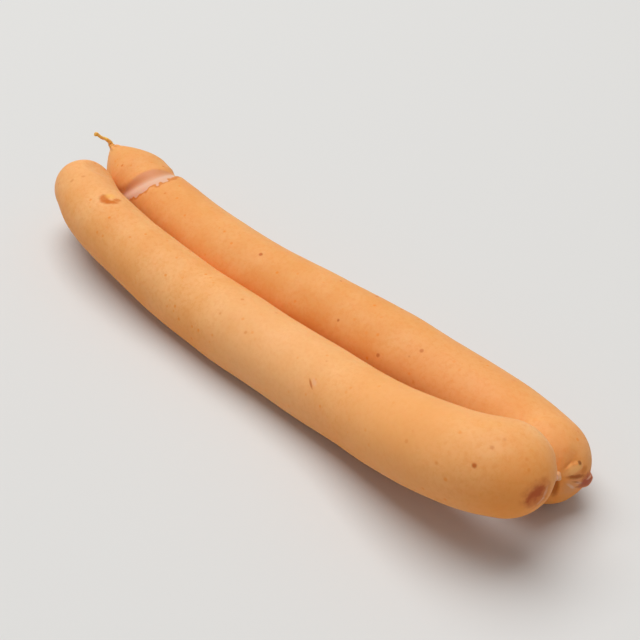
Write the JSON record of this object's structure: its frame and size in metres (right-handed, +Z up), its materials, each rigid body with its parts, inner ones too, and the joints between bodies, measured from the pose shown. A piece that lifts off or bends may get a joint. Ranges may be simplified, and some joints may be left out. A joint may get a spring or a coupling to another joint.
{
  "type": "string of sausage links",
  "caption": "Long slim smoked sausage links in natural casing, joined by a twist of the casing and folded side by side, one free end tapering to a thin dry tail",
  "frame": {"origin": "middle of the bounding box's underside, on the surface that the string lies on", "axes": "+X along the links from the free ends to the joined ends, +Y from the round link to the tailed link, +Z up"},
  "size_m": [0.2188, 0.0506, 0.0344],
  "materials": {
    "smoked_skin": "satin",
    "bare_casing": "satin, translucent, dry",
    "unsmoked_mark": "satin, moist"
  },
  "bodies": {
    "root": {"sausage_string": "smoked_skin"}
  },
  "joints": []
}
